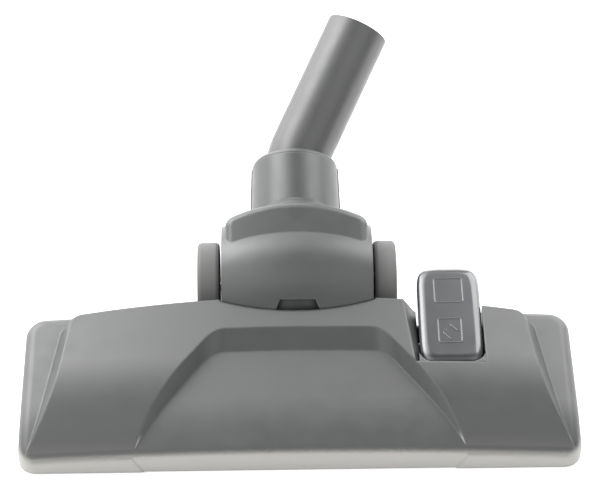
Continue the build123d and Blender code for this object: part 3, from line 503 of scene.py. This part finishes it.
def onPedal(plan, lift):
    # plan points (x, y) set on the sloping top of the pedal, then lifted along its normal
    y0, z0 = pedalSkin["pin"]
    lean = math.radians(pedalSkin["slope"])
    high = lift + pedalSkin["proud"]
    y = plan[..., 1] - high * math.sin(lean)
    z = z0 + (plan[..., 1] - y0) * math.tan(lean) + high * math.cos(lean)
    return np.stack([plan[..., 0], y, z], axis=-1)


def beadOn(plan, closed, setup):
    # half-round bead: u = width/2 * cos(t), v = height * sin(t), its lower half sunk a little into the pedal
    t = np.linspace(0, 2 * np.pi, setup["beadSteps"], endpoint=False)
    rise = setup["beadHeight"] * np.maximum(np.sin(t), -setup["beadSunk"])
    section = np.column_stack([setup["beadWidth"] / 2 * np.cos(t), rise])
    path = onPedal(plan, 0.0)
    ahead = np.roll(path, -1, axis=0) - np.roll(path, 1, axis=0) if closed else np.gradient(path, axis=0)
    ahead /= np.linalg.norm(ahead, axis=1)[:, None]
    lean = math.radians(pedalSkin["slope"])
    up = np.tile([0.0, -math.sin(lean), math.cos(lean)], (len(path), 1))
    return carried(path, np.cross(up, ahead), up, section, closed)


def roundedFrame(middle, size, corner, steps=6):
    # rectangle with round corners: corner centres plus a quarter turn each
    t = np.linspace(0, np.pi / 2, steps + 1)
    quarter = (np.arange(4) * np.pi / 2)[:, None] + t[None, :]
    signs = np.array([(1, 1), (-1, 1), (-1, -1), (1, -1)])
    centres = signs * (np.array(size) / 2 - corner)
    turn = np.stack([np.cos(quarter), np.sin(quarter)], axis=2) * corner
    return (centres[:, None, :] + turn).reshape(-1, 2) + np.array(middle)


def makePedalSkin(setup):
    # outline: x = a |cos u|^(2/n), y = b |sin u|^(2/n), with a bow added behind; rings of it go
    # down the edge: the inset is wide * (1 - sin t) while the height falls by high * (1 - cos t)
    t = np.linspace(0, np.pi / 2, setup["roundSteps"])
    wide, deep, tuck = setup["roundWide"], setup["deep"], setup["tuck"]
    flat = wide + np.array(setup["topRings"])
    inset = np.concatenate([flat, wide * (1 - np.sin(t)), [0.0, tuck]])[:, None]
    drop = np.concatenate([0 * flat, setup["roundHigh"] * (1 - np.cos(t)), [deep - tuck, deep]])
    u = (np.arange(setup["outlineSteps"]) + 0.5)[None, :] * 2 * np.pi / setup["outlineSteps"]
    halfX, halfY = np.array(setup["size"]) / 2
    x = (halfX - inset) * np.sign(np.cos(u)) * np.abs(np.cos(u)) ** (2 / setup["square"])
    y = (halfY - inset) * np.sign(np.sin(u)) * np.abs(np.sin(u)) ** (2 / setup["square"])
    y = y + setup["bow"] * (1 - (x / halfX) ** 2) * np.maximum(y, 0) / halfY
    plan = np.stack([x, y], axis=2) + np.array(setup["middle"])
    points, faces = skinOver(onPedal(plan, -drop[:, None]), False)
    addPiece("pedal_skin", points, faces, "pedalGrey", "pedal", "pedal_plastic")


def makePedalSigns(setup):
    # a frame is a closed path, a stroke the straight run start * (1 - s) + end * s; each carries a bead
    plans = [(roundedFrame(f["middle"], f["size"], setup["corner"]), True) for f in setup["frames"]]
    for start, end in setup["strokes"]:
        s = np.linspace(0, 1, setup["strokeSteps"])[:, None]
        plans.append((np.array(start) * (1 - s) + np.array(end) * s, False))
    points, faces = joined([beadOn(plan, closed, setup) for plan, closed in plans])
    addPiece("pedal_signs", points, faces, "pedalGrey", "pedal", "pedal_plastic")


# lip of the pedal's pocket: fills the pocket's square front corners up to a round line beside the pedal
pocketLip = {
    "gap": 0.9,
    "corner": 7.5,
    "roundSteps": 14,
    "reach": 1.5,
    "left": 64.1,
    "right": 99.5,
    "front": 0.9,
    "rear": 9.5,
    "low": 27.0,
    "sunk": 0.12,
    "probes": [(62, 0), (70, 0), (78, 0), (86, 0), (94, 0), (102, 0), (102, 4), (102, 8)],
    "probeFrom": 200.0,
}


def coverPlane(setup):
    # plane through the cover's top: z = a + b x + c y, by least squares over points below the probes
    tree = BVHTree.FromObject(nodes["top_cover"], bpy.context.evaluated_depsgraph_get())
    starts = [Vector((x, y, setup["probeFrom"])) * mm for x, y in setup["probes"]]
    hits = [tree.ray_cast(start, Vector((0, 0, -1)))[0] / mm for start in starts]
    found = np.array([list(hit) for hit in hits])
    return np.linalg.lstsq(np.column_stack([np.ones(len(found)), found[:, :2]]), found[:, 2], rcond=None)[0]


def makePocketLip(setup):
    # inner line: front of the pedal with round corners, grown by the gap;
    # outer line: the pocket's own square; both run up to the cover's plane
    middle, size, gap = pedalSkin["middle"], pedalSkin["size"], setup["gap"]
    half = size[0] / 2 + gap
    radius = setup["corner"] + gap
    t = np.linspace(0, np.pi / 2, setup["roundSteps"])
    front = middle[1] - size[1] / 2 - gap
    x = np.concatenate([half - radius + radius * np.cos(t), -half + radius - radius * np.sin(t)])
    y = np.concatenate([front + radius - radius * np.sin(t), front + radius - radius * np.cos(t)])
    inner = np.column_stack([middle[0] + x, y])
    heart = np.column_stack([middle[0] + np.sign(x) * (half - radius), np.full(len(x), front + radius)])
    outer = heart + (inner - heart) * setup["reach"]
    outer = np.clip(outer, [setup["left"], setup["front"]], [setup["right"], setup["rear"]])
    a, b, c = coverPlane(setup)
    lines = np.stack([inner, outer, outer, inner], axis=1)
    top = a + b * lines[..., 0] + c * lines[..., 1] - setup["sunk"]
    z = np.where(np.array([True, True, False, False])[None, :], top, setup["low"])
    points, faces = skinOver(np.concatenate([lines, z[..., None]], axis=2), False)
    piece = addPiece("pocket_lip", points, faces, "coverGrey", "head", "body_plastic")
    piece.data.polygons.foreach_set("use_smooth", np.zeros(len(piece.data.polygons), dtype=bool))


makePocketLip(pocketLip)
makePedalSkin(pedalSkin)
makePedalSigns(pedalSigns)
print("pedal skin and signs made")


# neck: a round end on the collar, a soft foot where the collar meets the shoulder,
# and the floor of the notch in the barrel's lower edge
neckForm = {
    "axle": (71.0, 25.0),
    "lean": 65.0,
    "collar": 24.0,
    "collarFoot": 25.0,
    "collarTop": 72.5,
    "endHigh": 75.1,
    "endInner": 20.1,
    "endSunk": 0.05,
    "endLap": 1.2,
    "endBack": 1.0,
    "endInside": 0.2,
    "aroundSteps": 96,
    "roundSteps": 10,
    "shoulderTop": 37.0,
    "shoulderArch": 91.7,
    "footFront": 6.5,
    "footRear": 0.3,
    "footBack": 1.0,
    "footSunk": 0.8,
    "notchRadius": 37.2,
    "notchThick": 0.9,
    "notchTurn": (29.0, 45.0),
    "notchHalf": 15.0,
    "notchSteps": 8,
}


def leanBack(points, setup):
    # from the upright neck, axle at the origin, to its place in the head
    y0, z0 = setup["axle"]
    lean = math.radians(setup["lean"])
    x, y, z = points[..., 0], points[..., 1], points[..., 2]
    back = y0 + y * math.cos(lean) + z * math.sin(lean)
    high = z0 - y * math.sin(lean) + z * math.cos(lean)
    return np.stack([x, back, high], axis=-1)


def turned(radius, height, turn):
    # rows of (radius, height) set round the neck's axis; turn is counted from the front
    return np.stack([radius * np.sin(turn), -radius * np.cos(turn), height], axis=-1)


def makeCollarEnd(setup):
    # quarter ellipse from the collar's wall to its mouth, turned round the axis
    t = np.linspace(0, np.pi / 2, setup["roundSteps"])
    inner, top = setup["endInner"], setup["collarTop"]
    wide = setup["collar"] - setup["endSunk"] - inner
    low = top - setup["endLap"]
    radius = np.concatenate([inner + wide * np.cos(t), [inner, setup["collar"] - setup["endBack"]]])
    height = np.concatenate([low + (setup["endHigh"] - low) * np.sin(t), [top - setup["endInside"], low]])
    turn = np.linspace(0, 2 * np.pi, setup["aroundSteps"], endpoint=False)[:, None]
    rows = turned(radius[None, :], height[None, :] + 0 * turn, turn)
    addPiece("collar_end", *skinOver(leanBack(rows, setup), True), "neckGrey", "neck", "body_plastic")


def makeCollarFoot(setup):
    # hollow quarter round on the arched shoulder: size falls from front to rear, height follows the arch
    turn = np.linspace(0, 2 * np.pi, setup["aroundSteps"], endpoint=False)[:, None]
    t = np.linspace(0, np.pi / 2, setup["roundSteps"])[None, :]
    foot = setup["collarFoot"]
    size = setup["footRear"] + (setup["footFront"] - setup["footRear"]) * (0.5 + 0.5 * np.cos(turn))
    radius = np.hstack([foot + size - size * np.cos(t), foot - setup["footBack"] + 0 * turn])
    rise = np.hstack([size - size * np.sin(t), -setup["footSunk"] + 0 * turn])
    arch = setup["shoulderArch"]
    drop = arch - np.sqrt(arch ** 2 - (radius * np.sin(turn)) ** 2)
    rows = turned(radius, setup["shoulderTop"] - drop + rise, turn)
    addPiece("collar_foot", *skinOver(leanBack(rows, setup), True), "neckGrey", "neck", "body_plastic")


def makeNotchFloor(setup):
    # curved plate just inside the barrel's wall, behind the notch, darker than the neck's plastic as painted
    # shade in the notch
    low, high = np.radians(setup["notchTurn"])
    turn = np.linspace(low, high, setup["notchSteps"])[:, None]
    outer = setup["notchRadius"]
    inner = outer - setup["notchThick"]
    half = setup["notchHalf"]
    radius = np.array([[outer, outer, inner, inner]]) + 0 * turn
    x = np.array([[-half, half, half, -half]]) + 0 * turn
    rows = np.stack([x, -radius * np.cos(turn), -radius * np.sin(turn)], axis=-1)
    addPiece("notch_floor", *skinOver(leanBack(rows, setup), False), "recessGrey", "neck", "body_plastic")


makeCollarEnd(neckForm)
makeCollarFoot(neckForm)
makeNotchFloor(neckForm)
print("neck forms made")


# brush rows: bundles of fibres under a backing strip, in the room of the solid tufts
brushRows = {
    "rows": {"front_bristle_fibres": ("front_bristles", -29.5), "rear_bristle_fibres": ("rear_bristles", 6.5)},
    "half": 121.0,
    "tufts": 31,
    "pitch": 7.6,
    "root": 8.3,
    "tip": 0.8,
    "stripHigh": 9.4,
    "stripLow": 7.8,
    "stripWidth": 4.6,
    "stripEdge": 0.4,
    "perTuft": 44,
    "rootReach": 1.45,
    "tipReach": 2.15,
    "ragged": 0.5,
    "fibre": 0.13,
    "taper": 0.6,
    "seed": 7,
}


def fibres(roots, tips, radius, taper):
    # three-sided fibre: ring of radius at the root, ring of radius * taper at the tip, closed at both ends
    t = np.arange(3) * 2 * np.pi / 3
    ring = np.column_stack([np.cos(t), np.sin(t), np.zeros(3)])
    start = roots[:, None, :] + ring * radius
    end = tips[:, None, :] + ring * radius * taper
    points = np.concatenate([start, end], axis=1)
    first = (np.arange(len(roots)) * 6)[:, None]
    j = np.arange(3)
    k = (j + 1) % 3
    side = np.stack([first + 3 + j, first + 3 + k, first + k, first + j], axis=2).reshape(-1, 4)
    caps = first + np.array([5, 4, 3])
    lids = first + np.array([0, 1, 2])
    return points.reshape(-1, 3), side.tolist() + caps.tolist() + lids.tolist()


def roundStrip(x0, x1, y0, y1, z0, z1, edge):
    # box with round long edges: rounded rectangle in (y, z) carried along x
    section = roundedFrame(((y0 + y1) / 2, (z0 + z1) / 2), (y1 - y0, z1 - z0), edge)
    path = np.column_stack([np.linspace(x0, x1, 3), np.zeros(3), np.zeros(3)])
    across = np.tile([0.0, 1.0, 0.0], (3, 1))
    up = np.tile([0.0, 0.0, 1.0], (3, 1))
    return carried(path, across, up, section, False)


def makeBrushRows(setup):
    # fibre of a tuft: out = square root of a random share, so the tuft is evenly filled,
    # times a reach that is larger at the tips than at the roots
    dice = np.random.default_rng(setup["seed"])
    for name, (node, y) in setup["rows"].items():
        x = (np.arange(setup["tufts"]) - (setup["tufts"] - 1) / 2) * setup["pitch"]
        count = setup["perTuft"]
        turn = dice.uniform(0, 2 * np.pi, (len(x), count))
        out = np.sqrt(dice.uniform(0, 1, (len(x), count)))
        rootX = x[:, None] + out * setup["rootReach"] * np.cos(turn)
        rootY = y + out * setup["rootReach"] * np.sin(turn)
        spread = out * setup["tipReach"]
        tipX = x[:, None] + spread * np.cos(turn)
        tipY = y + spread * np.sin(turn)
        tipZ = setup["tip"] + dice.uniform(0.0, setup["ragged"], turn.shape)
        roots = np.stack([rootX, rootY, np.full(turn.shape, setup["root"])], axis=2).reshape(-1, 3)
        tips = np.stack([tipX, tipY, tipZ], axis=2).reshape(-1, 3)
        half = setup["stripWidth"] / 2
        strip = roundStrip(-setup["half"], setup["half"], y - half, y + half,
                           setup["stripLow"], setup["stripHigh"], setup["stripEdge"])
        points, faces = joined([strip, fibres(roots, tips, setup["fibre"], setup["taper"])])
        addPiece(name, points, faces, "fibreBlack", "brush", "bristle", (node,))


makeBrushRows(brushRows)
print("brush fibres made")


# lint strips: a thin backing with short pile that leans to the rear, left and right of the middle
lintPile = {
    "rows": {"front_lint_pile": ("lint_strips_front", -23.2), "rear_lint_pile": ("lint_strips_rear", -2.0)},
    "middles": (-70.0, 70.0),
    "half": 30.0,
    "width": 4.0,
    "back": (0.75, 1.2),
    "backEdge": 0.15,
    "tip": 0.2,
    "ragged": 0.15,
    "lean": 0.45,
    "pitch": 0.5,
    "stray": 0.12,
    "marginX": (0.4, 0.3),
    "marginY": (0.3, 0.5),
    "rootSunk": 0.05,
    "fibre": 0.13,
    "taper": 0.7,
    "seed": 11,
}


def makeLintPile(setup):
    # roots on a grid with a little stray; tips lower down and set to the rear by the lean
    dice = np.random.default_rng(setup["seed"])
    deep = setup["width"] / 2
    left, right = setup["marginX"]
    front, rear = setup["marginY"]
    stray = setup["stray"]
    for name, (node, y) in setup["rows"].items():
        parts = []
        for middle in setup["middles"]:
            x0, x1 = middle - setup["half"], middle + setup["half"]
            parts.append(roundStrip(x0, x1, y - deep, y + deep, *setup["back"], setup["backEdge"]))
            gridX = np.arange(x0 + left, x1 - right, setup["pitch"])
            gridY = np.arange(y - deep + front, y + deep - rear, setup["pitch"])
            spot = np.stack(np.meshgrid(gridX, gridY), axis=2).reshape(-1, 2)
            spot = spot + dice.uniform(-stray, stray, spot.shape)
            high = np.full((len(spot), 1), setup["back"][0] + setup["rootSunk"])
            roots = np.hstack([spot, high])
            low = setup["tip"] + dice.uniform(0.0, setup["ragged"], (len(spot), 1))
            tips = np.hstack([spot + np.array([0.0, setup["lean"]]), low])
            parts.append(fibres(roots, tips, setup["fibre"], setup["taper"]))
        points, faces = joined(parts)
        addPiece(name, points, faces, "pileRed", "head", "pile", (node,))


makeLintPile(lintPile)
print("lint pile made")
